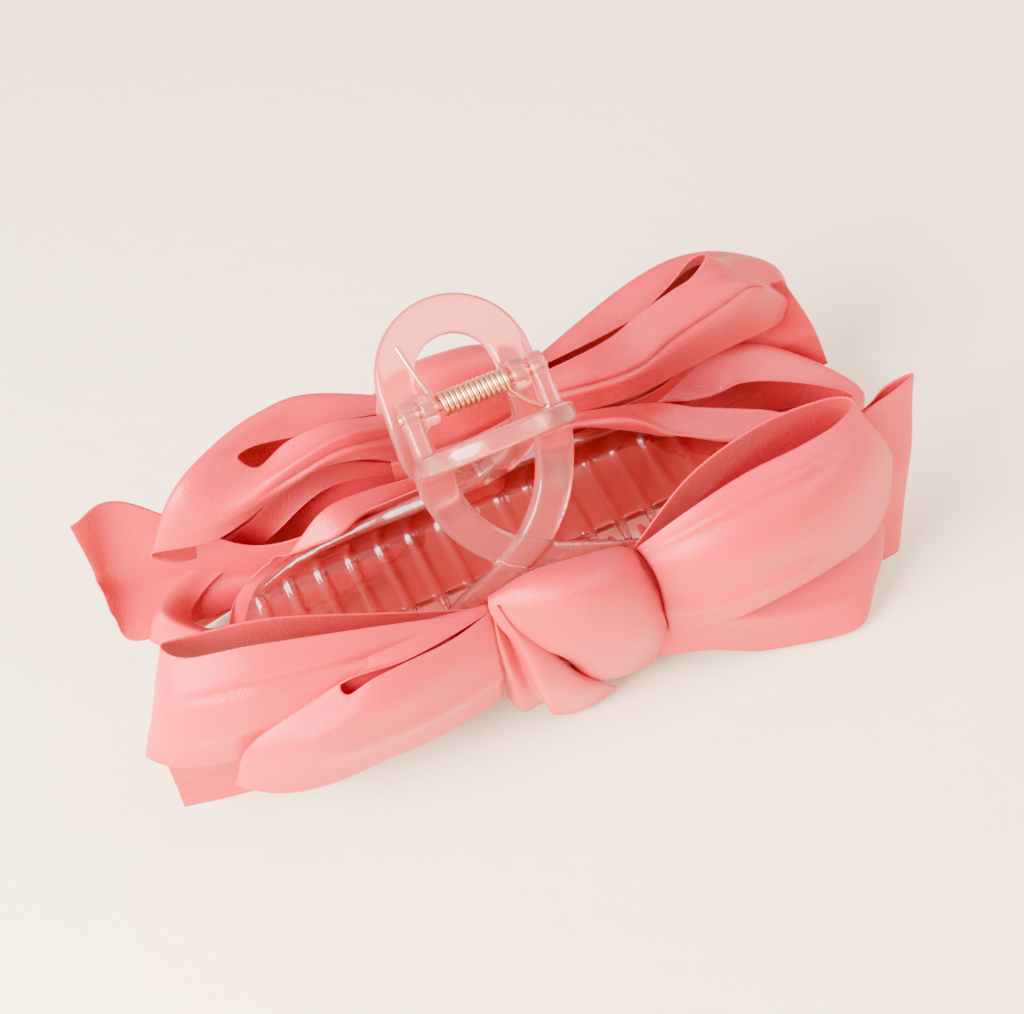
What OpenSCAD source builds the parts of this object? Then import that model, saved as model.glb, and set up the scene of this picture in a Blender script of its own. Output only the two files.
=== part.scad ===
// Claw hair clip with a satin bow glued to each jaw.
// X runs along the hinge pin, -Y is the front, +Z is up. The origin is the middle of the pin.

/* [Handles] */
// Outer radius of each handle ring
ring_r = 15; // [13:0.5:18]
// Width of the ring's flat band
band_w = 7.4; // [5:0.1:8]
// Thickness of the ring and the arms
plate_t = 3.8; // [3:0.1:4.5]
// Lean of each handle from upright, in degrees
handle_lean = 45; // [40:1:50]
// Height of the ring's centre above the pin, along the lean
ring_up = 4.6; // [3:0.1:7]
// Distance from the pin's axis to the middle of the plate
plate_off = 10; // [9:0.1:12]

/* [Hinge] */
// Diameter of the hinge pin
pin_d = 1.9; // [1.4:0.1:2.2]
// Length of the hinge pin
pin_len = 29; // [28:0.5:32]
// Radial clearance of the front lugs on the pin
pin_fit = 0.05; // [0.02:0.01:0.1]
// Thickness of one hinge lug
lug_t = 3.2; // [2:0.1:3.2]
// Radius of a lug's rounded end
lug_r = 3; // [2.4:0.1:3.6]
// Side gap between neighbours along the pin
side_gap = 0.4; // [0.3:0.05:0.8]

/* [Spring] */
// Diameter of the spring wire
wire_d = 1; // [0.8:0.05:1.1]
// Number of close turns
turns = 13; // [10:1:13]
// Radial gap between the coil and the pin
coil_gap = 0.3; // [0.1:0.05:0.4]
// How far up the handle each spring leg reaches
leg_reach = 13; // [7:0.5:14]

/* [Comb] */
// Width of the comb from end to end
comb_w = 106; // [80:1:120]
// Radius of the arched top edge
arch_r = 91; // [80:1:120]
// Height of the arch's top below the pin
arch_top = 33.5; // [30:0.5:35]
// Half width of the waist where the arms cross
waist_w = 8.2; // [7:0.1:10]
// Thickness of the comb's wall
wall_t = 2.2; // [1.8:0.1:2.6]
// Distance between neighbouring teeth
tooth_pitch = 6.4; // [6:0.1:9]
// Width of a tooth
tooth_w = 2.4; // [1.6:0.1:2.6]
// Height of a tooth's rib above the inside of the wall
rib_h = 1.3; // [0.8:0.1:1.6]
// How far a tooth passes the middle of the clip
tooth_past = 2; // [1:0.1:3]

/* [Bows] */
// Width of a knot across the clip
knot_w = 26; // [20:1:30]
// Height of a knot
knot_h = 26; // [20:1:28]
// Depth of a knot
knot_t = 10; // [9:0.5:13]
// Diameter of the gathered ribbon inside the knot
gather_d = 5; // [4:0.1:6]
// Diameter of the thread wound round the gather
thread_d = 0.6; // [0.4:0.1:1]
// Thickness of a ribbon tail
tail_t = 0.8; // [0.6:0.1:1.5]
// Thickness of the glued felt pad under a knot
pad_t = 1.2; // [1:0.1:2]
// Depth below the pin at which the lowest loops rest
rest_z = 60; // [58:0.5:64]

/* [Hidden] */
$fn = 64;

// overlap of joined pieces of one moulding
join = 0.5;
// how far a back lug reaches into the ring's hole
lug_bite = 0.3;
// gap between a spring leg and the handle's inner face
leg_gap = 0.15;
// height of the solid bridge where the arms cross
bridge_h = 3.5;
// straight stretch of the plate below its last flat point
plate_run = 3.5;
// depth of the comb's lower edge below the pin
comb_floor = 51;
// how far the comb's wall stands out from the pin's axis
comb_out = 20;
// distance of the wall's lower edge from the middle of the clip
wall_end = 3.5;
// place on the spine where the ribs start
rib_from = 0.62;
// offset of the middle tooth from the clip's centre
tooth_start = -1;
// height of the felt pads, at the comb's widest place
pad_z = 7.5 - comb_floor;
// side gap between a knot and the root of a loop or tail
root_gap = 0.4;
// offset of the tails from the knot's middle, towards the jaw
tail_out = -4.6;

lean_turn = 90 - handle_lean;
hole_r = ring_r - band_w;
coil_r = pin_d / 2 + coil_gap + wire_d / 2;
coil_step = wire_d * 0.98;
coil_len = (turns - 1) * coil_step + wire_d;
inner_lug_x = max(coil_len / 2 + side_gap, hole_r - lug_bite);
outer_lug_x = inner_lug_x + lug_t + side_gap;
leg_x = hole_r + 1;
leg_out = plate_off - plate_t / 2 - wire_d / 2 - leg_gap;
out_of_plane = [cos(handle_lean), -sin(handle_lean)];
up_handle = [sin(handle_lean), cos(handle_lean)];
plate_start = plate_off * out_of_plane + up_handle;
plate_bend = plate_off * out_of_plane - plate_run * up_handle;
waist_z = -arch_top - (arch_r - sqrt(arch_r ^ 2 - waist_w ^ 2));
hole_end = arch_top - bridge_h;

// side view of one jaw from the handle down: four joined Bezier curves, as [y, z]
SPINE = [
    [plate_start, plate_bend, [5.2, -16], [7, -21]],
    [[7, -21], [8.2, -24.4], [9.5, -29.5], [comb_out - 7, 17.5 - comb_floor]],
    [[comb_out - 7, 17.5 - comb_floor], [comb_out - 3, 13 - comb_floor],
        [comb_out + 0.5, 10.5 - comb_floor], [comb_out, 6 - comb_floor]],
    [[comb_out, 6 - comb_floor], [comb_out - 0.4, 2.4 - comb_floor],
        [wall_end + 8, 0.4 - comb_floor], [wall_end, -comb_floor]]];

function bezier(p, t) = (1 - t) ^ 3 * p[0] + 3 * (1 - t) ^ 2 * t * p[1]
    + 3 * (1 - t) * t ^ 2 * p[2] + t ^ 3 * p[3];
function bezier_way(p, t) = (1 - t) ^ 2 * (p[1] - p[0]) + 2 * (1 - t) * t * (p[2] - p[1])
    + t ^ 2 * (p[3] - p[2]);
// place on the spine, u from 0 at the handle to 1 at the wall's lower edge
function part_of(u) = min(floor(u * 4), 3);
function spine_at(u) = bezier(SPINE[part_of(u)], u * 4 - part_of(u));
// unit normal of the spine that points inwards, towards the other jaw
function spine_in(u) = let (d = bezier_way(SPINE[part_of(u)], u * 4 - part_of(u))) [d.y, -d.x] / norm(d);
// half thickness of the moulding: the arms taper into the thinner comb
function half_t(u) = wall_t / 2 + (plate_t - wall_t) / 2 * (1 - min(max(u - 0.2, 0) / 0.35, 1));

// band of the side view between two depths measured inwards from the spine's middle
module side_band(u0, u1, outer, inner, steps) {
    us = [for (i = [0:steps]) u0 + (u1 - u0) * i / steps];
    polygon(concat(
        [for (u = us) spine_at(u) + spine_in(u) * (inner + half_t(u))],
        [for (i = [steps:-1:0]) spine_at(us[i]) - spine_in(us[i]) * (outer + half_t(us[i]))]));
}

// turns a side view in the YZ plane into a bar of the given width along X
module along_x(x, width) translate([x - width / 2, 0, 0]) rotate([90, 0, 90])
    linear_extrude(width) children();

// front view of one jaw below the ring: two arms that narrow to the waist, then the arched comb
module front_view() {
    steps = 12;
    arms = [for (i = [0:steps]) let (t = i / steps)
        [waist_w + (ring_r - waist_w) * (1 - t ^ 3), -5 + (waist_z + 5) * t]];
    arch = [for (i = [1:steps]) let (x = waist_w + (comb_w / 2 - waist_w) * i / steps)
        [x, -arch_top - arch_r + sqrt(arch_r ^ 2 - x ^ 2)]];
    half = concat([[0, -5]], arms, arch, [[comb_w / 2 - 2, -comb_floor - 4], [0, -comb_floor - 4]]);
    hole = [for (i = [0:steps]) let (t = i / steps) [hole_r * (1 - t ^ 2.5), -4 - (hole_end - 4) * t]];
    difference() {
        for (side = [0, 1]) mirror([side, 0]) polygon(half);
        for (side = [0, 1]) mirror([side, 0]) polygon(concat([[-0.1, -4]], hole, [[-0.1, -hole_end]]));
    }
}

module front_cut() rotate([90, 0, 0]) translate([0, 0, -60]) linear_extrude(120) front_view();

// leaning ring, open at the bottom where the arms carry on
module handle_ring() rotate([lean_turn, 0, 0]) translate([0, 0, -plate_off - plate_t / 2])
    linear_extrude(plate_t) difference() {
        union() {
            translate([0, ring_up]) circle(r = ring_r);
            translate([-ring_r, 0]) square([2 * ring_r, ring_up]);
        }
        translate([-ring_r - 1, -2 * ring_r]) square([2 * ring_r + 2, 2 * ring_r]);
        translate([0, ring_up]) circle(r = hole_r);
        translate([-hole_r, -1]) square([2 * hole_r, ring_up + 1]);
    }

// pair of lugs that carry the pin, bored for it
module lugs(x, bore_r) rotate([lean_turn, 0, 0]) for (side = [0, 1]) mirror([side, 0, 0])
    difference() {
        union() {
            translate([x, 0, 0]) rotate([0, 90, 0]) cylinder(r = lug_r, h = lug_t);
            translate([x, -lug_r, -plate_off + plate_t / 2 - 1.5])
                cube([lug_t, 2 * lug_r, plate_off - plate_t / 2 + 1.5]);
        }
        translate([x - 1, 0, 0]) rotate([0, 90, 0]) cylinder(r = bore_r, h = lug_t + 2);
    }

// one rib with its tooth: the rib stands inside the wall and the tooth points past the middle
module tooth(x) {
    along_x(x, tooth_w) side_band(rib_from, 1, 0.2 - wall_t, rib_h, 10);
    tip = tooth_w / 2 - 0.5;
    low = -comb_floor - wall_t / 2;
    top = -comb_floor + wall_t / 2 + rib_h;
    root = wall_end + join;
    intersection() {
        along_x(x, tooth_w) polygon([[root, low], [root, top], [2, top - 0.2],
            [-tooth_past, low + 1.4], [-tooth_past, low + 0.4], [0, low]]);
        translate([x, 0, low - 1]) linear_extrude(10)
            polygon([[-tooth_w / 2, root], [-tooth_w / 2, 1], [-tip, -tooth_past], [tip, -tooth_past],
                [tooth_w / 2, 1], [tooth_w / 2, root]]);
    }
}

module jaw(lug_x, bore_r, tooth_shift) {
    count = floor((comb_w / 2 - tooth_w - abs(tooth_shift)) / tooth_pitch);
    handle_ring();
    lugs(lug_x, bore_r);
    intersection() {
        union() {
            along_x(0, comb_w + 2) side_band(0, 1, 0, 0, 28);
            for (i = [-count:count]) tooth(i * tooth_pitch + tooth_shift);
        }
        front_cut();
    }
}

module back_jaw() color([0.96, 0.70, 0.69]) jaw(inner_lug_x, pin_d / 2, tooth_start);
module front_jaw() color([0.96, 0.70, 0.69]) mirror([0, 1, 0])
    jaw(outer_lug_x, pin_d / 2 + pin_fit, tooth_start + tooth_pitch / 2);

module hinge_pin() color([0.80, 0.62, 0.50]) translate([-pin_len / 2, 0, 0])
    rotate([0, 90, 0]) cylinder(d = pin_d, h = pin_len);

// straight round bar between two points
module rod(a, b, d) {
    way = b - a;
    translate(a) rotate([0, acos(way.z / norm(way)), atan2(way.y, way.x)]) cylinder(d = d, h = norm(way));
}

// leg from the coil's end out to the handle's inner face, in the leaning frame
module spring_leg(side) rotate([lean_turn, 0, 0])
    rod([side * (coil_len - wire_d) / 2, 0, -coil_r], [side * leg_x, leg_reach, -leg_out], wire_d);

module torsion_spring() color([0.80, 0.60, 0.48]) {
    rotate([0, 90, 0]) rotate_extrude() for (i = [0:turns - 1])
        translate([coil_r, (i - (turns - 1) / 2) * coil_step]) circle(d = wire_d, $fn = 24);
    spring_leg(-1);
}

module spring_front_leg() color([0.80, 0.60, 0.48]) mirror([0, 1, 0]) difference() {
    spring_leg(1);
    rotate([0, 90, 0]) cylinder(r = coil_r + wire_d / 2 + 0.1, h = coil_len + 2, center = true);
}

// Bows. A bow is drawn with +Y away from its jaw; the front bow is mirrored into place.
front_knot = [3, comb_out + wall_t / 2 + pad_t + knot_t / 2, -43];
back_knot = [2, comb_out + wall_t / 2 + pad_t + knot_t / 2, -33];

// loop of ribbon as one closed solid. reach: length; swell: radius of its round end;
// edges: heights of its lower and upper edge, as [[root low, root high], [end low, end high]];
// out: offset of its middle from the knot's, away from the jaw
module loop(knot, side, reach, swell, edges, out) {
    start = knot_w / 2 + root_gap;
    plan = concat([[0, -1.6]],
        [for (a = [-90:15:90]) [reach - swell + swell * cos(a), swell * sin(a)]], [[0, 1.6]]);
    face = [[-1, edges[0][0]], [reach * 0.55, edges[1][0]], [reach + 1, edges[1][0]],
        [reach + 1, edges[1][1]], [reach * 0.55, edges[1][1]], [-1, edges[0][1]]];
    translate([knot.x + side * start, knot.y + out, 0]) mirror([side < 0 ? 1 : 0, 0, 0])
        intersection() {
            translate([0, 0, -rest_z]) linear_extrude(rest_z + 20) polygon(plan);
            rotate([90, 0, 0]) translate([0, 0, -swell - 1]) linear_extrude(2 * swell + 2) polygon(face);
        }
}

// flat ribbon tail with a slanted end, as one thin closed slab
module tail(knot, side, reach, edges) {
    start = knot_w / 2 + root_gap;
    face = [[0, edges[0][0]], [reach - 6, edges[1][0]], [reach, edges[1][1]], [0, edges[0][1]]];
    translate([knot.x + side * start, knot.y + tail_out, 0]) mirror([side < 0 ? 1 : 0, 0, 0])
        rotate([90, 0, 0]) translate([0, 0, -tail_t / 2]) linear_extrude(tail_t) polygon(face);
}

// rounded rectangle: a circle's points pushed outwards, the smaller the power the squarer
function rounded(half_x, half_y, power) = [for (a = [0:15:345])
    [half_x * sign(cos(a)) * abs(cos(a)) ^ power, half_y * sign(sin(a)) * abs(sin(a)) ^ power]];

// band wrapped round the middle of the bow, with a tunnel for the gathered ribbon
module knot_band(knot) translate(knot) difference() {
    intersection() {
        translate([0, 0, -knot_h / 2]) linear_extrude(knot_h) polygon(rounded(knot_w / 2, knot_t / 2, 0.6));
        rotate([90, 0, 90]) translate([0, 0, -knot_w / 2]) linear_extrude(knot_w)
            polygon(rounded(knot_t / 2, knot_h / 2, 0.5));
    }
    rotate([0, 90, 0]) cylinder(d = gather_d + 2 * thread_d + 0.6, h = knot_w + 2, center = true);
}

module gather(knot) translate(knot) rotate([0, 90, 0]) cylinder(d = gather_d, h = knot_w - 2, center = true);
module thread(knot) translate(knot) rotate([0, 90, 0]) rotate_extrude() for (i = [-2:2])
    translate([gather_d / 2 + thread_d / 2 + 0.02, i * thread_d * 0.96]) circle(d = thread_d, $fn = 16);
module pad(knot) translate([knot.x, knot.y - knot_t / 2 - 0.05, pad_z]) rotate([90, 0, 0])
    cylinder(d = knot_h * 0.55, h = pad_t + 0.35);

satin = [0.96, 0.50, 0.48];
module front(piece_colour) color(piece_colour) mirror([0, 1, 0]) children();

module front_bow_knot() front(satin) knot_band(front_knot);
module front_bow_gather() front(satin) gather(front_knot);
module front_bow_thread() front("white") thread(front_knot);
module front_bow_pad() front("mistyrose") pad(front_knot);
module front_bow_left_upper_loop() front(satin)
    loop(front_knot, -1, 61, 9, [[-41, -31], [-33, -9]], 5.3);
module front_bow_left_lower_loop() front(satin)
    loop(front_knot, -1, 48, 7, [[-55, -42.5], [-50, -36]], 3.3);
module front_bow_right_upper_loop() front(satin)
    loop(front_knot, 1, 50, 9, [[-45, -31], [-43.5, -9]], 5.3);
module front_bow_right_lower_loop() front(satin)
    loop(front_knot, 1, 46, 7, [[-55, -46], [-rest_z, -44]], 3.3);
module front_bow_left_tail() front(satin) tail(front_knot, -1, 66, [[-52, -44], [-59, -40]]);
module front_bow_right_tail() front(satin) tail(front_knot, 1, 68, [[-42, -34], [-54, -17]]);

module back_bow_knot() color(satin) knot_band(back_knot);
module back_bow_gather() color(satin) gather(back_knot);
module back_bow_thread() color("white") thread(back_knot);
module back_bow_pad() color("mistyrose") pad(back_knot);
module back_bow_left_upper_loop() color(satin)
    loop(back_knot, -1, 50, 6.5, [[-33, -21], [-30, -13]], 2.8);
module back_bow_left_lower_loop() color(satin)
    loop(back_knot, -1, 55, 7.5, [[-44, -34], [-rest_z, -32]], 3.8);
module back_bow_right_upper_loop() color(satin)
    loop(back_knot, 1, 58, 7.5, [[-33, -21], [-37, -12]], 3.8);
module back_bow_right_lower_loop() color(satin)
    loop(back_knot, 1, 64, 7, [[-44, -34], [-rest_z, -39]], 3.3);
module back_bow_left_tail() color(satin) tail(back_knot, -1, 62, [[-40, -32], [-50, -20]]);
module back_bow_right_tail() color(satin) tail(back_knot, 1, 64, [[-40, -32], [-59, -30]]);

front_jaw();
back_jaw();
hinge_pin();
torsion_spring();
spring_front_leg();
front_bow_knot();
front_bow_gather();
front_bow_thread();
front_bow_pad();
front_bow_left_upper_loop();
front_bow_left_lower_loop();
front_bow_right_upper_loop();
front_bow_right_lower_loop();
front_bow_left_tail();
front_bow_right_tail();
back_bow_knot();
back_bow_gather();
back_bow_thread();
back_bow_pad();
back_bow_left_upper_loop();
back_bow_left_lower_loop();
back_bow_right_upper_loop();
back_bow_right_lower_loop();
back_bow_left_tail();
back_bow_right_tail();
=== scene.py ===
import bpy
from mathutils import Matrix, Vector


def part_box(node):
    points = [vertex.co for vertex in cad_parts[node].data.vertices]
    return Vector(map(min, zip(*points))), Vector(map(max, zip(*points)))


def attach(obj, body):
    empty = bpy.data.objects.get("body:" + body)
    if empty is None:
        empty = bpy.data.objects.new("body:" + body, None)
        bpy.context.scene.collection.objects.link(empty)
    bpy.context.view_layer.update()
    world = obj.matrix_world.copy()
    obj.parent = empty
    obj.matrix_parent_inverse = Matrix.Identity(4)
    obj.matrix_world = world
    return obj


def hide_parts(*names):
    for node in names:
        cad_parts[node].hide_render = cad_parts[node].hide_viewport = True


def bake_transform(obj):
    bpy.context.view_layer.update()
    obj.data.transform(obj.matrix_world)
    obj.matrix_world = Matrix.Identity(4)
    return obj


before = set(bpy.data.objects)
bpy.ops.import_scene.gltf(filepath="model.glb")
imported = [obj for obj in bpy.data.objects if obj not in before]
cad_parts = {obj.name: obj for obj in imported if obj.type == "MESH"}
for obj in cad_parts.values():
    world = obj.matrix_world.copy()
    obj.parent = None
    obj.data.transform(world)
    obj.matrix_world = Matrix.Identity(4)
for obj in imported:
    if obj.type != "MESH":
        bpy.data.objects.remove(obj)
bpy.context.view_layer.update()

# %% [markdown]
# # A claw clip dressed with two satin bows
# The clip is two moulded jaws that turn on one pin, a coil spring that holds them shut, and a
# bow glued to the outside of each jaw. The loaded frame already has every piece at its true
# size, so this lesson gives each of them its real surface. All lengths below are in millimetres
# and become metres when a mesh is made.

import bpy
import numpy as np
from mathutils import Matrix, Vector

MM = 0.001
FRONT, BACK = "front_half", "back_half"
print("pieces in the frame:", len(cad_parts))

# %% [markdown]
# ## From a grid of points to a mesh
# Most pieces here are surfaces: a grid of points worked out from a formula. A helper joins
# neighbours with four-sided faces. It could be done face by face, but whole arrays are quicker
# and keep the formula in sight. The grid's own coordinates are kept as a UV map, in millimetres
# along the cloth, so that a weave can follow the piece.

# %% Meshes from grids


def grid_faces(rows, cols, wrap_rows=False, wrap_cols=False):
    """Corner numbers of the faces between each row and the next and each column and the next."""
    r = np.arange(rows if wrap_rows else rows - 1)[:, None]
    c = np.arange(cols if wrap_cols else cols - 1)[None, :]
    r2, c2 = (r + 1) % rows, (c + 1) % cols
    return np.stack([r * cols + c, r * cols + c2, r2 * cols + c2, r2 * cols + c], -1).reshape(-1, 4)


def make_mesh(name, points, faces, caps=(), uv=None):
    """A smooth mesh from points in millimetres, four-sided faces and closing polygons."""
    mesh = bpy.data.meshes.new(name)
    corners = np.concatenate([faces.ravel()] + [np.asarray(cap) for cap in caps])
    sizes = np.array([4] * len(faces) + [len(cap) for cap in caps])
    mesh.vertices.add(len(points))
    mesh.vertices.foreach_set("co", (points * MM).astype(np.float32).ravel())
    mesh.loops.add(len(corners))
    mesh.loops.foreach_set("vertex_index", corners.astype(np.int32))
    mesh.polygons.add(len(sizes))
    mesh.polygons.foreach_set("loop_start", (np.cumsum(sizes) - sizes).astype(np.int32))
    mesh.update(calc_edges=True)
    mesh.polygons.foreach_set("use_smooth", np.ones(len(sizes), bool))
    if uv is not None:
        layer = mesh.uv_layers.new(name="cloth")
        layer.data.foreach_set("uv", uv[corners].astype(np.float32).ravel())
    mesh.validate()
    return mesh


def add_piece(name, mesh, material):
    """A mesh as an object at the origin, with its material."""
    piece = bpy.data.objects.new(name, mesh)
    bpy.context.scene.collection.objects.link(piece)
    mesh.materials.append(material)
    return piece


def settle(piece):
    """Turns the piece's modifiers into its mesh."""
    bpy.context.view_layer.update()
    finished = piece.evaluated_get(bpy.context.evaluated_depsgraph_get())
    mesh = bpy.data.meshes.new_from_object(finished)
    piece.modifiers.clear()
    piece.data = mesh


print("faces between 3 by 3 points:", len(grid_faces(3, 3)))

# %% [markdown]
# ## Curves that pass through chosen points
# A ribbon's edge and an arm of the handle are free curves. A spline through a few points is easy
# to steer: each stretch blends its four nearest points, so the line runs through every point
# without a corner.

# %% Smooth curves


def flowing(points, count):
    """Curve through the points, along the first axis: each stretch is the cubic that leaves a
    point in the direction of its two neighbours (Catmull-Rom)."""
    p = np.asarray(points, float)
    p = np.concatenate([2 * p[:1] - p[1:2], p, 2 * p[-1:] - p[-2:-1]])
    t = np.linspace(0, len(p) - 3, count)
    i = np.minimum(t.astype(int), len(p) - 4)
    f = (t - i).reshape((-1,) + (1,) * (p.ndim - 1))
    a, b, c, d = p[i], p[i + 1], p[i + 2], p[i + 3]
    return 0.5 * (2 * b + (c - a) * f + (2 * a - 5 * b + 4 * c - d) * f**2
                  + (3 * b - a - 3 * c + d) * f**3)


def bump_at(x, centre, width):
    """A smooth hill of height 1 at the centre: e to the minus square of the distance in widths."""
    return np.exp(-(((x - centre) / width) ** 2))


def smooth_step(x, low, high):
    """0 below low, 1 above high, and three squares minus two cubes in between."""
    t = np.clip((x - low) / (high - low), 0, 1)
    return t * t * (3 - 2 * t)


print("middle of a curve through three points:", flowing([(0, 0), (1, 2), (2, 0)], 5)[2])

# %% [markdown]
# ## Finishes
# Satin is woven so that long threads lie on its face: it is bright where it faces the light,
# saturated in its folds, and the weave shows only close up. The colour sits in a plain diffuse
# base, and a soft sheen and a broad gloss lie over it. A fine noise stretched along the threads
# gives the weave.

# %% Helper for materials


def new_material(name):
    """A material with its Principled shader and a function that adds and links nodes."""
    material = bpy.data.materials.new(name)
    material.use_nodes = True
    nodes, links = material.node_tree.nodes, material.node_tree.links
    shader = nodes["Principled BSDF"]

    def add(kind, settings=None, **inputs):
        node = nodes.new(kind)
        for key, value in (settings or {}).items():
            setattr(node, key, value)
        for key, value in inputs.items():
            socket = node.inputs[key.replace("_", " ")]
            if isinstance(value, bpy.types.NodeSocket):
                links.new(value, socket)
            else:
                socket.default_value = value
        return node

    return material, shader, add, links


def set_shader(shader, **values):
    """Sets constant inputs of the shader, written with underscores for spaces."""
    for key, value in values.items():
        shader.inputs[key.replace("_", " ")].default_value = value


# %% Satin


def satin_material():
    """Coral satin: colour drifts a little, threads run along the ribbon."""
    material, shader, add, links = new_material("coral_satin")
    place = add("ShaderNodeTexCoord")
    drift = add("ShaderNodeTexNoise", Vector=place.outputs["Object"], Scale=55.0, Detail=2.0)
    colour = add("ShaderNodeMix", {"data_type": "RGBA"}, Factor=drift.outputs["Fac"])
    colour.inputs[6].default_value = (0.48, 0.004, 0.018, 1)
    colour.inputs[7].default_value = (0.58, 0.009, 0.030, 1)
    links.new(colour.outputs[2], shader.inputs["Base Color"])
    along = add("ShaderNodeMapping", Vector=place.outputs["UV"], Scale=(0.7, 5.0, 1.0))
    weave = add("ShaderNodeTexNoise", Vector=along.outputs["Vector"], Scale=1.0, Detail=2.0)
    across = add("ShaderNodeMapping", Vector=place.outputs["UV"], Scale=(5.0, 0.8, 1.0))
    slub = add("ShaderNodeTexNoise", Vector=across.outputs["Vector"], Scale=1.0, Detail=1.0)
    mixed = add("ShaderNodeMath", {"operation": "ADD"})
    links.new(weave.outputs["Fac"], mixed.inputs[0])
    links.new(slub.outputs["Fac"], mixed.inputs[1])
    relief = add("ShaderNodeBump", Height=mixed.outputs["Value"], Strength=0.55, Distance=0.00015)
    links.new(relief.outputs["Normal"], shader.inputs["Normal"])
    set_shader(shader, Roughness=0.38, Specular_IOR_Level=0.55, Specular_Tint=(1.0, 0.72, 0.74, 1),
               Sheen_Weight=0.06, Sheen_Roughness=0.4, Sheen_Tint=(1.0, 0.55, 0.58, 1), Anisotropic=0.4)
    return material


satin = satin_material()
print("finish:", satin.name)

# %% [markdown]
# The jaws are clear plastic with a little milky pink in it. Light goes in, scatters and comes
# out again, so the shader passes most light through with a slight blur and lets some of it
# spread under the surface. A faint, slow ripple stands for the marks of the mould.

# %% Plastic


def plastic_material():
    """Milky pink moulded plastic: part glass, part scattered light. Pale in the thick handle. Lower down,
    in the thin comb, the colour turns a deep red that is painted shade: it stands for the satin in shadow
    behind the wall."""
    material, shader, add, links = new_material("milky_pink_plastic")
    place = add("ShaderNodeTexCoord")
    ripple = add("ShaderNodeTexNoise", Vector=place.outputs["Object"], Scale=120.0, Detail=3.0)
    rough = add("ShaderNodeMapRange", Value=ripple.outputs["Fac"])
    rough.inputs["To Min"].default_value = 0.10
    rough.inputs["To Max"].default_value = 0.24
    links.new(rough.outputs["Result"], shader.inputs["Roughness"])
    relief = add("ShaderNodeBump", Height=ripple.outputs["Fac"], Strength=0.12, Distance=0.0004)
    links.new(relief.outputs["Normal"], shader.inputs["Normal"])
    # Painted shade: below the comb's rim the base colour fades by height into a deep shaded red, as if the
    # satin behind lay in shadow
    height = add("ShaderNodeSeparateXYZ", Vector=place.outputs["Object"])
    depth = add("ShaderNodeMapRange", Value=height.outputs["Z"])
    depth.inputs["From Min"].default_value = -0.029
    depth.inputs["From Max"].default_value = -0.037
    painted_comb_shade = add("ShaderNodeMix", {"data_type": "RGBA"}, Factor=depth.outputs["Result"])
    painted_comb_shade.inputs[6].default_value = (0.98, 0.30, 0.28, 1)
    painted_comb_shade.inputs[7].default_value = (0.66, 0.075, 0.085, 1)
    links.new(painted_comb_shade.outputs[2], shader.inputs["Base Color"])
    set_shader(shader, Transmission_Weight=0.88, IOR=1.46,
               Subsurface_Weight=0.15, Subsurface_Radius=(1.0, 0.35, 0.3), Subsurface_Scale=0.003,
               Specular_IOR_Level=0.5)
    return material


plastic = plastic_material()
print("finish:", plastic.name)

# %% [markdown]
# Drawn wire is bright but never quite even, and both thread and felt are matt fibres that differ
# only in colour and in how coarse they are, so one function makes the two.

# %% Metal, thread and felt


def metal_material():
    """Copper-washed steel wire with fine drawing marks."""
    material, shader, add, links = new_material("copper_wire")
    place = add("ShaderNodeTexCoord")
    marks = add("ShaderNodeTexNoise", Vector=place.outputs["Object"], Scale=900.0, Detail=3.0)
    rough = add("ShaderNodeMapRange", Value=marks.outputs["Fac"])
    rough.inputs["To Min"].default_value = 0.22
    rough.inputs["To Max"].default_value = 0.42
    links.new(rough.outputs["Result"], shader.inputs["Roughness"])
    set_shader(shader, Base_Color=(0.74, 0.38, 0.22, 1), Metallic=1.0)
    return material


def fibre_material(name, colour, scale, strength):
    """Matt fibres: a fine noise for colour and relief."""
    material, shader, add, links = new_material(name)
    place = add("ShaderNodeTexCoord")
    fuzz = add("ShaderNodeTexNoise", Vector=place.outputs["Object"], Scale=scale, Detail=4.0)
    shade = add("ShaderNodeMix", {"data_type": "RGBA"}, Factor=fuzz.outputs["Fac"])
    shade.inputs[6].default_value = tuple(0.75 * c for c in colour) + (1,)
    shade.inputs[7].default_value = tuple(colour) + (1,)
    links.new(shade.outputs[2], shader.inputs["Base Color"])
    relief = add("ShaderNodeBump", Height=fuzz.outputs["Fac"], Strength=strength, Distance=0.0003)
    links.new(relief.outputs["Normal"], shader.inputs["Normal"])
    set_shader(shader, Roughness=0.85, Sheen_Weight=0.3)
    return material


metal = metal_material()
thread = fibre_material("tie_thread", (0.92, 0.84, 0.80), 2500.0, 0.3)
felt = fibre_material("felt", (0.90, 0.22, 0.22), 1800.0, 0.6)
print("finishes:", ", ".join(m.name for m in (satin, plastic, metal, thread, felt)))

# %% [markdown]
# ## The camera
# The clip is seen from its front left and from 45 degrees above, with the camera rolled so that
# the hinge rises to the right.

# %% Camera
VIEW_AZIMUTH, VIEW_ELEVATION, VIEW_ROLL = np.radians([-15.0, 45.0, 11.6])
CAMERA_AWAY = 400.0
CAMERA_ASIDE, CAMERA_UP = 6.96, -20.5
LENS, SENSOR_WIDTH = 78.75, 36


def camera_axes():
    """Right, up and backward directions: azimuth turns about Z, elevation lifts, roll tilts."""
    a, e, r = VIEW_AZIMUTH, VIEW_ELEVATION, VIEW_ROLL
    back = np.array([np.sin(a) * np.cos(e), -np.cos(a) * np.cos(e), np.sin(e)])
    level = np.array([np.cos(a), np.sin(a), 0.0])
    steep = np.cross(back, level)
    return (level * np.cos(r) - steep * np.sin(r), level * np.sin(r) + steep * np.cos(r), back)


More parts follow.
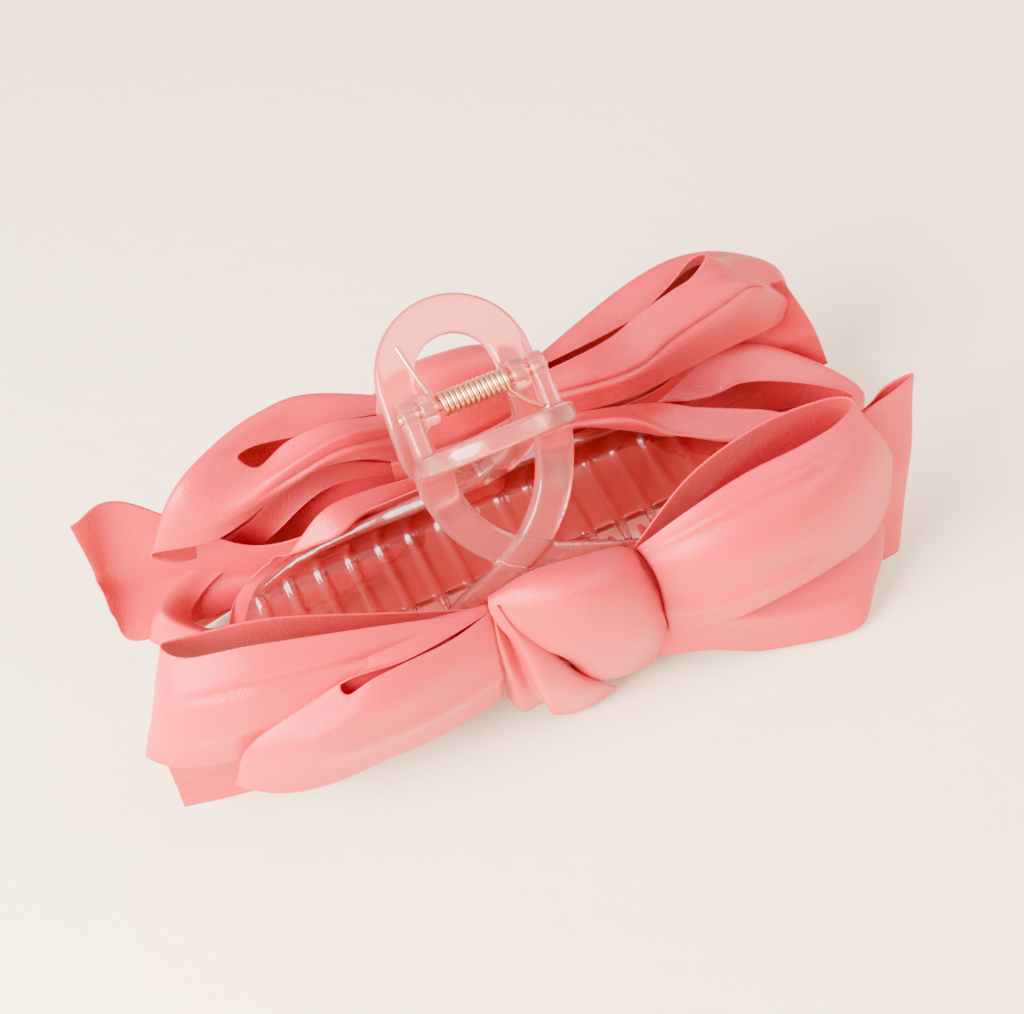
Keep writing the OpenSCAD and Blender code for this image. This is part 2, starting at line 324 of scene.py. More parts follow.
def place_camera():
    """A camera looking against its backward direction, aimed a little below the pin."""
    right, up, back = camera_axes()
    camera = bpy.data.objects.new("camera", bpy.data.cameras.new("camera"))
    camera.data.lens = LENS
    camera.data.sensor_width = SENSOR_WIDTH
    where = (CAMERA_ASIDE * right + CAMERA_UP * up + CAMERA_AWAY * back) * MM
    pose = np.eye(4)
    pose[:3, :3] = np.stack([right, up, back], 1)
    pose[:3, 3] = where
    camera.matrix_world = Matrix(pose.tolist())
    bpy.context.scene.collection.objects.link(camera)
    bpy.context.scene.camera = camera


place_camera()
print("camera:", CAMERA_AWAY, "mm away, lens", LENS, "mm")

# %% [markdown]
# ## The moulded jaws
# Seen from the side a jaw is one S: the handle leans out at 45 degrees, dives past the pin, and
# swells into the comb, which turns in again at the bottom. Everything on the jaw lies on that
# surface, so a place on it needs just three numbers: x along the pin, w down along the S, and
# the lift off the surface. Bands, the comb's wall, ribs and teeth are all drawn in x, w and lift.

# %% Side view of a jaw
HANDLE_LEAN = np.radians(45)
HANDLE_TOP, HANDLE_END = 22, 1
PLATE_OFF, RING_UP, RING_R, BAND_W = 10.0, 4.6, 15.0, 7.4
COMB_HALF, COMB_FLOOR, WALL_T = 53.0, 51.0, 2.2
WALL_IN = 3.5
ARCH_R, ARCH_TOP = 91.0, 33.5
TOOTH_PITCH, TOOTH_REACH = 6.4, 5.5
SPINE = [
    [(7.78, -6.36), (4.6, -9.55), (5.2, -16), (7, -21)],
    [(7, -21), (8.2, -24.4), (9.5, -29.5), (13, -33.5)],
    [(13, -33.5), (17, -38), (20.5, -40.5), (20, -45)],
    [(20, -45), (19.6, -48.6), (WALL_IN + 8, -50.6), (WALL_IN, -51)],
]


def bezier(points, count):
    """Cubic Bezier curve: the four points weighted by 1, 3, 3, 1 times powers of t and 1 - t."""
    t = np.linspace(0, 1, count)[:, None]
    a, b, c, d = (np.array(p, float) for p in points)
    return (1 - t) ** 3 * a + 3 * (1 - t) ** 2 * t * b + 3 * (1 - t) * t**2 * c + t**3 * d


def side_profile():
    """The S as (w, y, z, normal y, normal z): straight handle, four Bezier curves, straight tooth.
    w is the length along it, 0 where the handle ends; the normal points to the other jaw."""
    s = np.linspace(HANDLE_TOP, HANDLE_END, 43)[:, None]
    out = np.array([np.cos(HANDLE_LEAN), -np.sin(HANDLE_LEAN)])
    up = np.array([np.sin(HANDLE_LEAN), np.cos(HANDLE_LEAN)])
    handle = PLATE_OFF * out + s * up
    curves = np.concatenate([bezier(points, 60)[1:] for points in SPINE])
    tooth = np.array([WALL_IN, -COMB_FLOOR]) + np.linspace(0.5, 8, 16)[:, None] * np.array([-1, -0.02])
    line = np.concatenate([handle, curves, tooth])
    length = np.concatenate([[0], np.cumsum(np.linalg.norm(np.diff(line, axis=0), axis=1))])
    w = length - length[len(handle) - 1]
    way = np.gradient(line, w, axis=0)
    way /= np.linalg.norm(way, axis=1)[:, None]
    return w, line[:, 0], line[:, 1], way[:, 1], -way[:, 0]


PROFILE = side_profile()


def w_at_depth(z):
    """Length down the S at which the jaw reaches height z, for z above its lowest stretch."""
    w, _, height, _, _ = PROFILE
    low = np.argmin(height)
    return np.interp(-np.asarray(z, float), -height[:low], w[:low])


def on_jaw(side, x, w, lift):
    """Point at x along the pin and w down the S, raised by lift towards the other jaw.
    side is 1 for the back jaw and -1 for the front one."""
    table_w, y, z, ny, nz = PROFILE
    at = [np.interp(w, table_w, column) for column in (y, z, ny, nz)]
    return np.stack([x + 0 * w, side * (at[0] + lift * at[2]), at[1] + lift * at[3]], -1)


WALL_END = w_at_depth(-COMB_FLOOR + 0.02)
print("length of the S from handle to wall's end:", round(float(WALL_END), 1), "mm")

# %% [markdown]
# A band is a path on that surface with a rounded section. The section is a circle pushed towards
# a rectangle: the power of the cosine and sine decides how square it is. A bevelled bar or a
# boolean of an extruded outline would do too, but a carried section keeps its round edges through
# every bend of the ring and the crossing arms.

# %% Bands on the jaw


def push(value, power):
    """Sign kept, size raised to the power: squares up a circle's sine or cosine."""
    return np.sign(value) * np.abs(value) ** power


def band(side, x, w, half_width, half_thick, lift, points, square=0.5):
    """Closed tube on the jaw: at each place of the path the section spreads sideways on the
    surface by half_width and off it by half_thick, as a rounded rectangle. A smaller square
    gives sharper edges."""
    way = np.stack([np.gradient(x), np.gradient(w)], -1)
    way /= np.linalg.norm(way, axis=1)[:, None]
    turn = np.linspace(0, 2 * np.pi, points, endpoint=False)
    aside = half_width[:, None] * push(np.cos(turn), square)
    rise = lift[:, None] + half_thick[:, None] * push(np.sin(turn), square)
    grid = on_jaw(side, x[:, None] - aside * way[:, 1:], w[:, None] + aside * way[:, :1], rise)
    return closed_tube(grid)


def closed_tube(grid):
    """Points, faces and end caps of a tube given as rings of points."""
    rows, cols = grid.shape[:2]
    first = np.arange(cols)
    caps = [first, (rows - 1) * cols + first[::-1]]
    return grid.reshape(-1, 3), grid_faces(rows, cols, wrap_cols=True), caps


def joined(parts):
    """Several tubes as one list of points, faces and caps."""
    points, faces, caps, start = [], [], [], 0
    for part_points, part_faces, part_caps in parts:
        points.append(part_points)
        faces.append(part_faces + start)
        caps += [cap + start for cap in part_caps]
        start += len(part_points)
    return np.concatenate(points), np.concatenate(faces), caps


def arch_w(x):
    """Length down the S of the comb's arched top edge: a circle of radius ARCH_R."""
    return w_at_depth(-ARCH_TOP - ARCH_R + np.sqrt(ARCH_R**2 - np.asarray(x, float) ** 2))


def arm(side, hand, over):
    """Half of the handle: from the ring's top down one side, across the middle, and along the
    other side's rim. hand is 1 or -1, and over is how far the arm passes outside the other one
    where the two cross."""
    middle = RING_R - BAND_W / 2
    turn = np.linspace(np.pi / 2 + 0.25, 0, 8)
    ring = np.stack([middle * np.cos(turn), HANDLE_END - RING_UP - middle * np.sin(turn)], -1)
    arms = np.array([(11.6, 3.0), (11.2, 10.0), (8.6, 17.5), (3.2, 24.3), (-4.6, 28.8)])
    rim_x = np.linspace(-15, -COMB_HALF + 1.2, 8)
    rim = np.stack([rim_x, arch_w(rim_x) + 1.2], -1)
    path = flowing(np.concatenate([ring, arms, rim]), 260)
    share = np.linspace(0, 1, 260)
    wide = np.interp(share, [0, 0.35, 0.45, 0.55, 0.68, 1], [3.7, 3.7, 3.5, 3.2, 1.3, 1.1])
    thick = np.interp(share, [0, 0.38, 0.58, 0.70, 1], [1.9, 1.9, 1.8, 1.25, 1.15])
    lift = 0.2 - over * bump_at(share, 0.56, 0.1)
    return band(side, hand * path[:, 0], path[:, 1], wide, thick, lift, 36, 0.32)


print("points round and along one arm:", arm(1, 1, 0.0)[0].shape)

# %% [markdown]
# The comb is a thin curved wall under the arch. Ribs stand on its inside and run out past the
# wall's edge as teeth, which mesh with the other jaw's because one jaw is shifted by half a pitch.

# %% Comb and teeth
RIB_TOP, NUB_TOP, TOP_FALL = 40.0, 37.2, 300.0


def comb_wall(side):
    """Closed shell: for each x the section runs down the outside from arch to edge and back up
    the inside, half a wall's thickness off the S."""
    steps = 60
    x = np.linspace(-COMB_HALF, COMB_HALF, 161)
    down = np.linspace(0, 1, steps)
    top = arch_w(x) + 0.4
    w = top[:, None] + (WALL_END - top)[:, None] * down[None, :]
    half = WALL_T / 2 * (1 - 0.5 * smooth_step(np.abs(x), COMB_HALF - 2, COMB_HALF))
    ring_w = np.concatenate([w, w[:, ::-1]], 1)
    ring_lift = half[:, None] * np.concatenate([-np.ones(steps), np.ones(steps)])[None, :]
    return closed_tube(on_jaw(side, np.repeat(x[:, None], 2 * steps, 1), ring_w, ring_lift))


def below_arch(x, depth):
    """Length down the S of a line that lies depth below the pin at x = 0 and falls a little, as a
    parabola, towards both ends of the comb."""
    return float(w_at_depth(-depth - x * x / TOP_FALL))


def tooth(side, x):
    """Rib and tooth at x: a bar on the wall's inside that drops to the wall's level past its end
    and narrows to a blunt tip."""
    w = np.linspace(below_arch(x, RIB_TOP), WALL_END + TOOTH_REACH, 70)
    past = np.clip((w - WALL_END) / TOOTH_REACH, 0, 1)
    wide = 0.8 + 0.25 * smooth_step(past, 0, 0.15) - 0.45 * past**1.5
    wide[:2] *= 0.8
    lift = 1.0 - 1.2 * past
    thick = 0.9 + 0.7 * smooth_step(past, 0, 0.2) - 0.9 * past
    return band(side, np.full(70, x), w, wide, thick, lift, 20)


print("points of the comb's wall:", len(comb_wall(1)[0]))

# %% [markdown]
# The lugs carry the pin. They are drawn in the handle's own directions, up it and off it, because
# they have to stand square on the flat plate and still centre on the pin.

# %% Lugs
EYE_R, EYE_HALF_WALL = 2.0, 1.0
LUG_HALF, WEB_HALF = 1.6, 3.0
LUG_SQUARE = 0.3


def lean_place(side, x, s, n):
    """Point from the handle's own frame: s up the handle, n off it, turned by its lean."""
    c, d = np.cos(HANDLE_LEAN), np.sin(HANDLE_LEAN)
    return np.stack([x + 0 * s, side * (s * c - n * d), s * d + n * c], -1)


def lug(side, x):
    """Eye round the pin and the web that joins it to the handle: a washer turned about the pin,
    and a rounded bar from the eye to the plate."""
    turn = np.linspace(0, 2 * np.pi, 48, endpoint=False)[:, None]
    edge = np.linspace(0, 2 * np.pi, 20, endpoint=False)[None, :]
    r = EYE_R + EYE_HALF_WALL * push(np.cos(edge), LUG_SQUARE)
    across = x + LUG_HALF * push(np.sin(edge), LUG_SQUARE)
    eye = np.stack([across + 0 * turn, r * np.cos(turn), r * np.sin(turn)], -1)
    s = WEB_HALF * push(np.cos(edge), LUG_SQUARE)
    n = np.linspace(-EYE_R, -PLATE_OFF + 1.2, 14)[:, None]
    web = lean_place(side, across + 0 * n, s + 0 * n, n + 0 * s)
    return [(eye.reshape(-1, 3), grid_faces(48, 20, True, True), []), closed_tube(web)]


print("lug's outer radius:", EYE_R + EYE_HALF_WALL, "mm")

# %% [markdown]
# All parts of a jaw overlap a little, and a jaw comes out of its mould in one piece. So their
# common outer skin is rebuilt on a fine grid of cubes and then smoothed. Boolean unions would
# keep sharper edges, but they leave hard inside corners that a mould never has.

# %% The two jaws
FRONT_LUG_X, BACK_LUG_X = 12.5, 8.9
TOOTH_START = -1
NUB_X = (-34.0, -21.0, 21.0, 34.0)
SKIN_CUBE = 0.42


def nub(side, x):
    """Small round mark that the mould's ejector left near the rib's top."""
    w = below_arch(x, NUB_TOP)
    turn = np.linspace(0, np.pi, 8)
    wide = 0.2 + 0.8 * np.sin(turn)
    return band(side, x + 0.9 * np.cos(turn), w + 0.02 * turn, wide, np.full(8, 0.5), np.full(8, 1.2), 12)


def jaw(name, side, lug_x, tooth_shift, body):
    """One jaw: its parts are fused by rebuilding their common outer skin, which also rounds the
    inside corners as a mould does."""
    count = int((COMB_HALF - 2.4 - abs(tooth_shift)) / TOOTH_PITCH)
    teeth = [tooth(side, k * TOOTH_PITCH + tooth_shift) for k in range(-count, count + 1)]
    lugs = [part for hand in (-1, 1) for part in lug(side, hand * lug_x)]
    nubs = [nub(side, x) for x in NUB_X]
    parts = [arm(side, -side, 1.1), arm(side, side, 0.0), comb_wall(side)] + teeth + lugs + nubs
    piece = add_piece(name, make_mesh(name, *joined(parts)), plastic)
    skin = piece.modifiers.new("skin", "REMESH")
    skin.mode = "VOXEL"
    skin.voxel_size = SKIN_CUBE * MM
    skin.use_smooth_shade = True
    soften = piece.modifiers.new("soften", "SMOOTH")
    soften.factor = 0.5
    soften.iterations = 5
    settle(piece)
    piece.data.materials.clear()
    piece.data.materials.append(plastic)
    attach(piece, body)
    print(name, "faces:", len(piece.data.polygons))
    return piece


front_jaw = jaw("moulded_front_jaw", -1, FRONT_LUG_X, TOOTH_START + TOOTH_PITCH / 2, FRONT)
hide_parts("front_jaw")
back_jaw = jaw("moulded_back_jaw", 1, BACK_LUG_X, TOOTH_START, BACK)
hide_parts("back_jaw")

# %% [markdown]
# ## Pin and spring
# The pin is turned: a profile swept round the X axis, with small chamfers at both ends. The
# spring is one wire. Its coil is a helix, and both legs run out to the handles, so it is one tube
# along one path. When the jaws open, the left end stays with the back half and the right end goes
# with the front half, and the coil twists in between.

# %% The pin is turned: a profile swept round the X axis, with small chamfers at both ends. The
# spring is one wire. Its coil is a helix, and both legs run out to the handles, so it is one tube
# along one path. Its left leg runs to the back handle and its right leg to the front one.


def turned(profile, points=40):
    """Surface turned about the X axis from (x, radius) pairs, closed where the radius is zero."""
    profile = np.asarray(profile, float)
    turn = np.linspace(0, 2 * np.pi, points, endpoint=False)
    x = np.repeat(profile[:, :1], points, 1)
    rings = np.stack([x, profile[:, 1:] * np.cos(turn), profile[:, 1:] * np.sin(turn)], -1)
    return closed_tube(rings)


def tube(path, radius, points=14):
    """Round tube along a path: two directions across it come from its heading and the X axis."""
    way = np.gradient(path, axis=0)
    way /= np.linalg.norm(way, axis=1)[:, None]
    one = np.cross(way, [1.0, 0.0, 0.0])
    one /= np.linalg.norm(one, axis=1)[:, None]
    two = np.cross(way, one)
    turn = np.linspace(0, 2 * np.pi, points, endpoint=False)[None, :, None]
    ring = np.cos(turn) * one[:, None] + np.sin(turn) * two[:, None]
    return closed_tube(path[:, None] + radius * ring)


print("points of a plain turned disc:", len(turned([(0, 0.01), (0, 1), (1, 1), (1, 0.01)])[0]))

# %% Pin
PIN_R, PIN_HALF, CHAMFER = 0.95, 14.5, 0.3
pin_profile = [(-PIN_HALF, 0.01), (-PIN_HALF, PIN_R - CHAMFER), (-PIN_HALF + CHAMFER, PIN_R),
               (PIN_HALF - CHAMFER, PIN_R), (PIN_HALF, PIN_R - CHAMFER), (PIN_HALF, 0.01)]
pin = add_piece("turned_pin", make_mesh("turned_pin", *turned(pin_profile)), metal)
edges = pin.modifiers.new("edges", "BEVEL")
edges.width = 0.08 * MM
edges.segments = 2
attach(pin, BACK)
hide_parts("hinge_pin")
print("pin:", 2 * PIN_R, "by", 2 * PIN_HALF, "mm")

# %% Spring
WIRE_R, COIL_R, TURNS, COIL_STEP = 0.49, 1.84, 13, 1.06
LEG_X, LEG_REACH, LEG_OUT = 8.6, 13.0, 7.45


def spring_path():
    """Helix about the pin with a leg at each end. The helix advances COIL_STEP a turn and starts
    and stops where its wire heads for a handle."""
    half = (TURNS - 1) * COIL_STEP / 2
    start, stop = np.radians(-45), np.radians(-135) + 2 * np.pi * TURNS
    turn = np.linspace(start, stop, 60 * TURNS)
    x = np.linspace(-half, half, len(turn))
    helix = np.stack([x, COIL_R * np.cos(turn), COIL_R * np.sin(turn)], -1)
    tip = [lean_place(side, np.array([x]), np.array([LEG_REACH]), np.array([-LEG_OUT]))[0]
           for side, x in ((1, -LEG_X), (-1, LEG_X))]
    bow = np.linspace(1, 0, 40)[:, None] ** 0.9
    first = helix[0] + (tip[0] - helix[0]) * bow + np.array([0, 0.5, -1.2]) * bow * (1 - bow) * 2
    last = helix[-1] + (tip[1] - helix[-1]) * bow + np.array([0, -0.5, -1.2]) * bow * (1 - bow) * 2
    return np.concatenate([first[:-1], helix, last[::-1][1:]])


spring = add_piece("wound_spring", make_mesh("wound_spring", *tube(spring_path(), WIRE_R)), metal)
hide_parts("torsion_spring", "spring_front_leg")
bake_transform(spring)
print("spring wire:", round(float(np.linalg.norm(np.diff(spring_path(), axis=0), axis=1).sum())), "mm")

# %% [markdown]
# ## Satin ribbon
# A loop of a bow is one length of ribbon that leaves the knot, turns round and comes back. Its
# lower edge and its upper edge are two free curves, and a third between them says how far the
# cloth bellies out or rolls over. The surface is a spline across those three. Folds that start
# at the knot are ridges and valleys added along the surface's own direction outwards. A cloth
# simulation could make folds too, but these need to lie where a hand pressed them, and a formula
# puts them there and costs no time.

# %% Ribbon surfaces
FLOOR_Z, CLOTH_LOW, FLOOR_BEND = -60.0, -59.4, 2
ALONG, ACROSS = 150, 56
RIBBON_T = 0.25


def clear_of_comb(points, side, gap):
    """Pushes cloth off the comb: below the arch it lies at least gap outside the wall."""
    w, y, z, _, _ = PROFILE
    low = np.argmin(z)
    x, height = points[..., 0], points[..., 2]
    wall = np.interp(-height, -z[:low], y[:low]) + WALL_T / 2 + gap
    rim = -ARCH_TOP - ARCH_R + np.sqrt(np.maximum(ARCH_R**2 - x**2, 1))
    beside = 1 - smooth_step(np.abs(x), COMB_HALF + 1, COMB_HALF + 5)
    below = 1 - smooth_step(height, rim + 1.0, rim + 4.0)
    outward = side * points[..., 1]
    points[..., 1] = side * (outward + np.maximum(wall - outward, 0) * beside * below)
    return points


def above_floor(points):
    """Lifts the lowest cloth clear of the floor: below the bend's height it falls off as e to the
    minus distance, so it nears CLOTH_LOW without a crease."""
    under = CLOTH_LOW + FLOOR_BEND - points[..., 2]
    bent = CLOTH_LOW + FLOOR_BEND * np.exp(-np.maximum(under, 0) / FLOOR_BEND)
    points[..., 2] = np.where(under > 0, bent, points[..., 2])
    return points


def cloth_grid(rails, side, folds, crown, closed_loop, gap):
    """Ribbon surface: a spline along each rail, a spline across them, then along its normal a
    crown (a half sine across the ribbon), the folds, and a slight waviness."""
    lines = np.stack([flowing(rail, ALONG) for rail in rails])
    grid = flowing(lines, ACROSS).transpose(1, 0, 2)
    u = np.linspace(0, 1, ALONG)[:, None]
    v = np.linspace(0, 1, ACROSS)[None, :]
    from_knot = 1 - np.abs(2 * u - 1) if closed_loop else u
    raise_by = crown * np.sin(np.pi * v) * np.sin(np.pi * np.clip(u, 0, 1)) ** 0.7
    for at_knot, at_end, height, width, first, last in folds:
        line = at_knot + (at_end - at_knot) * from_knot
        near = smooth_step(u, first - 0.06, first + 0.06) * (1 - smooth_step(u, last - 0.06, last + 0.06))
        raise_by = raise_by + height * bump_at(v, line, width) * near
    raise_by = raise_by + 0.22 * np.sin(9 * u + 5 * v) * np.sin(7 * v + 2 + 4 * u)
    normal = np.cross(np.gradient(grid, axis=0), np.gradient(grid, axis=1))
    normal /= np.maximum(np.linalg.norm(normal, axis=2), 1e-9)[..., None]
    grid = grid + normal * raise_by[..., None]
    return above_floor(clear_of_comb(grid, side, gap))


def cloth_uv(grid):
    """Place on the flat ribbon, in millimetres: mean length along it and across it."""
    along = np.linalg.norm(np.diff(grid, axis=0), axis=2).mean(1)
    across = np.linalg.norm(np.diff(grid, axis=1), axis=2).mean(0)
    u = np.concatenate([[0], np.cumsum(along)])
    v = np.concatenate([[0], np.cumsum(across)])
    return np.stack(np.broadcast_arrays(u[:, None], v[None, :]), -1), u[-1], v[-1]


def ribbon(name, body, rails, folds=(), crown=0.0, closed_loop=True, gap=1.6):
    """One sheet of satin with a real thickness; its flat size is printed."""
    side = -1 if body == FRONT else 1
    grid = cloth_grid(rails, side, folds, crown, closed_loop, gap)
    place, length, width = cloth_uv(grid)
    points = grid.reshape(-1, 3)
    mesh = make_mesh(name, points, grid_faces(ALONG, ACROSS), uv=place.reshape(-1, 2))
    piece = add_piece(name, mesh, satin)
    wall = piece.modifiers.new("thickness", "SOLIDIFY")
    wall.thickness = RIBBON_T * MM
    wall.offset = 0
    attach(piece, body)
    print(name, "cut", round(width), "x", round(length), "mm")
    return piece


# %% [markdown]
# ### The front bow
# The points below are places on the ribbon's lower edge, middle and upper edge, from the knot
# along the front layer, round the end, and back behind it.

# %% Front bow, left loops
left_upper = ribbon("front_left_upper_ribbon", FRONT, [
    [(-13.5, -27, -40.5), (-27, -28, -40.5), (-43, -28.5, -40), (-59, -28, -36.5), (-72, -24, -36),
     (-77.5, -18.5, -35.5), (-74, -15, -39.5), (-58.5, -15, -45), (-34.5, -19, -44), (-13, -24, -41.5)],
    [(-14, -30, -29.5), (-26.5, -32, -25), (-41.5, -33, -22), (-58, -32, -18.5), (-71, -26, -19.5),
     (-75, -18, -26.5), (-70, -14, -29), (-52.5, -14, -34), (-32, -19, -32.5), (-12.5, -24, -35)],
    [(-13, -28, -24.5), (-25.5, -29, -18.5), (-39, -29, -13.5), (-54.5, -27.5, -9.5), (-65, -23, -11),
     (-68, -18.5, -10.5), (-62.5, -17, -12.5), (-49, -19, -14), (-30.5, -22, -20.5), (-12, -25, -27)],
], folds=[(0.75, 0.55, 1.2, 0.07, 0, 0.4), (0.45, 0.2, -1.0, 0.08, 0, 0.45)], crown=1.0)
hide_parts("front_bow_left_upper_loop")

left_lower = ribbon("front_left_lower_ribbon", FRONT, [
    [(-14, -30, -45.5), (-28, -33, -45), (-39.5, -33.5, -44.5), (-49.5, -33, -45), (-58, -31, -44.5),
     (-64.5, -27, -42.5), (-61.5, -24, -43.5), (-46.5, -24.5, -45), (-28.5, -26, -43), (-14, -27, -41)],
    [(-13.5, -32, -32), (-25.5, -36, -30), (-35.5, -38, -28), (-43.5, -38, -27.5), (-52.5, -36, -29),
     (-60, -31, -28.5), (-51, -28, -27.5), (-41.5, -27.5, -21), (-28.5, -27, -21), (-12.5, -27, -24.5)],
    [(-13, -30, -22.5), (-21.5, -33, -22), (-31, -35, -20.5), (-37, -35.5, -20.5), (-41.5, -35, -22.5),
     (-42.5, -33.5, -21.5), (-40, -33.5, -20), (-30.5, -34, -21), (-21.5, -32.5, -21.5),
     (-13, -29.5, -23)],
], folds=[(0.3, 0.25, -0.8, 0.08, 0, 0.35)], crown=0.5)
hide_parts("front_bow_left_lower_loop")

# %% Front bow, right loops
right_upper = ribbon("front_right_upper_ribbon", FRONT, [
    [(19.5, -31, -47), (30, -35, -44.5), (40.5, -37, -41.5), (51, -37, -39.5), (60.5, -33, -41),
     (69, -25, -42.5), (67.5, -20, -52), (52.5, -19, -56), (36, -22, -52.5), (20.5, -26, -49.5)],
    [(17.5, -33, -27.5), (26, -38, -24), (36.5, -40, -21.5), (47.5, -39, -21), (59, -34, -24),
     (68, -26, -28.5), (64, -20, -32), (49.5, -19, -32), (31.5, -22, -31.5), (18.5, -26, -35.5)],
    [(16, -29, -23), (26, -32, -15.5), (37, -32, -12.5), (48.5, -31, -12.5), (57, -29, -13),
     (62, -25.5, -13), (58, -23, -12.5), (45, -22.5, -12.5), (30, -24, -16), (16.5, -27, -24.5)],
], folds=[(0.22, 0.10, 1.4, 0.05, 0, 0.3), (0.85, 0.8, -0.8, 0.06, 0.05, 0.4)], crown=0.8)
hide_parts("front_bow_right_upper_loop")

right_lower = ribbon("front_right_lower_ribbon", FRONT, [
    [(17.5, -29, -53.5), (26.5, -32, -54), (37.5, -34, -59), (47, -36.5, -60.5), (54, -38, -58.5),
     (57.5, -36, -57.5), (57, -32, -57.5), (45.5, -28, -57.5), (31.5, -25, -58.5), (19.5, -25, -54)],
    [(18.5, -30, -45.5), (28, -33, -44), (39.5, -34, -47.5), (49.5, -34.5, -48.5), (58, -34, -49.5),
     (63, -31, -50.5), (61.5, -27, -51), (49, -24, -52), (34.5, -23, -52), (20.5, -25, -49)],
    [(21, -28, -40.5), (31, -29, -40), (43.5, -29, -41.5), (54, -29, -42), (63, -28, -42.5),
     (68.5, -25, -46), (65.5, -22, -46), (52.5, -20, -46.5), (37, -21, -45.5), (22.5, -24, -45.5)],
], folds=[(0.5, 0.35, 0.7, 0.08, 0, 0.4)], crown=0.4)
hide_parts("front_bow_right_lower_loop")

# %% Front bow, tails
left_tail = ribbon("front_left_tail_ribbon", FRONT, [
    [(-15, -25, -48), (-37.5, -23, -52.5), (-58.5, -22, -52), (-74.5, -20, -50.5)],
    [(-15, -25, -41), (-38.5, -23, -43), (-59.5, -22, -42.5), (-74.5, -20, -44.5)],
    [(-15, -25, -34), (-39.5, -22, -36), (-60.5, -21, -37), (-74.5, -20, -38.5)],
], folds=[(0.5, 0.4, 0.7, 0.1, 0.1, 1.1)], closed_loop=False)
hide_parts("front_bow_left_tail")

right_tail = ribbon("front_right_tail_ribbon", FRONT, [
    [(18.5, -25, -42), (36, -26, -48.5), (52.5, -27, -52.5), (61, -27.5, -54.5), (66, -28, -54.5),
     (69.5, -27, -54.5), (67.5, -24, -54), (59.5, -22, -53), (41.5, -20, -50), (20, -22, -43)],
    [(18, -25, -36.5), (37.5, -25, -38), (55.5, -25, -37.5), (64.5, -25.5, -34.5), (70, -25, -33),
     (74.5, -23.5, -33.5), (71.5, -21, -34), (63.5, -20, -36), (44, -19, -38.5), (19.5, -22, -37.5)],
    [(17.5, -25, -31), (39, -24, -27.5), (58, -24, -21), (66, -24, -18), (71.5, -23, -17.5),
     (77, -21, -17), (71.5, -20.5, -18), (65.5, -20, -22.5), (45.5, -20, -26.5), (19, -23, -30)],
], folds=[(0.5, 0.4, 0.7, 0.12, 0.1, 0.5)])
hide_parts("front_bow_right_tail")

# %% [markdown]
# ### The back bow
# The same ribbon again on the other jaw, with its own folds: the lower left loop gapes, and the
# lower right one lies over the comb's rim.

# %% Back bow, left loops
back_left_upper = ribbon("back_left_upper_ribbon", BACK, [
    [(-8.5, 22, -32), (-18.5, 18.5, -23), (-27.5, 18, -20.5), (-38.5, 18, -23.5), (-50.5, 18.5, -28),
     (-62.5, 22, -28.5), (-55.5, 26, -37.5), (-40, 29, -36.5), (-24.5, 30, -36.5), (-7.5, 28, -38.5)],
    [(-7, 22, -25.5), (-18, 17.5, -18), (-25, 16.5, -16.5), (-35.5, 16.5, -18.5), (-47, 17.5, -20),
     (-53.5, 21, -15), (-46, 26, -14), (-35, 29, -12.5), (-24, 30, -13.5), (-5, 28, -22)],
    [(-5.5, 23, -20.5), (-16.5, 21.5, -15.5), (-23, 21.5, -13.5), (-31, 21.5, -14), (-38, 21.5, -17.5),
     (-41, 23, -14.5), (-37, 24.5, -14.5), (-28.5, 25, -17), (-18, 25, -18), (-5.5, 26, -22.5)],
], folds=[(0.5, 0.45, 1.2, 0.08, 0, 0.35), (0.75, 0.6, -1.0, 0.06, 0, 0.35)], crown=-0.6)
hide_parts("back_bow_left_upper_loop")

back_left_lower = ribbon("back_left_lower_ribbon", BACK, [
    [(-11, 20, -52.5), (-24.5, 16, -53), (-32.5, 17, -56.5), (-43, 18, -61), (-57.5, 19, -61),
     (-68.5, 22, -50), (-61.5, 27, -57.5), (-48, 31, -65), (-30, 32, -63.5), (-8.5, 29, -50)],
    [(-10, 20, -44.5), (-23, 12, -38.5), (-31, 11, -41), (-41.5, 11, -44.5), (-54, 13, -49),
     (-64.5, 20, -42.5), (-56, 28, -42), (-40.5, 30, -37), (-26, 30, -32), (-7.5, 28, -38.5)],
    [(-8.5, 22, -35.5), (-26.5, 19, -31), (-35.5, 18, -36), (-43, 18, -44.5), (-54.5, 18.5, -50.5),
     (-59.5, 22, -48.5), (-52.5, 25, -44), (-40, 27, -41.5), (-25.5, 27, -34.5), (-8, 27, -39)],
], folds=[(0.6, 0.5, 0.8, 0.08, 0, 0.4)], crown=-0.4)
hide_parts("back_bow_left_lower_loop")

# %% Back bow, right loops
back_right_upper = ribbon("back_right_upper_ribbon", BACK, [
    [(12.5, 24, -35.5), (34, 19, -34.5), (47.5, 19, -33.5), (60, 20, -33), (68, 22, -34.5),
     (74, 26, -36), (75, 31, -36), (59, 34, -39), (40, 34, -41), (14, 29, -35.5)],
    [(13, 25, -30), (35, 16, -25.5), (45.5, 15, -21), (57, 16, -19), (66.5, 19, -19.5), (74, 25, -30),
     (73.5, 30, -24.5), (60, 33, -18), (43.5, 32, -18), (14.5, 30, -29.5)],
    [(13, 25, -26), (32.5, 21.5, -20.5), (41, 21.5, -17), (48.5, 21.5, -14.5), (53.5, 22, -13.5),
     (57.5, 24, -11.5), (54.5, 25, -12), (48.5, 25, -17), (38.5, 25, -21.5), (13.5, 27, -26)],
], folds=[(0.45, 0.5, -1.2, 0.05, 0, 0.45)], crown=-0.4)
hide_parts("back_bow_right_upper_loop")

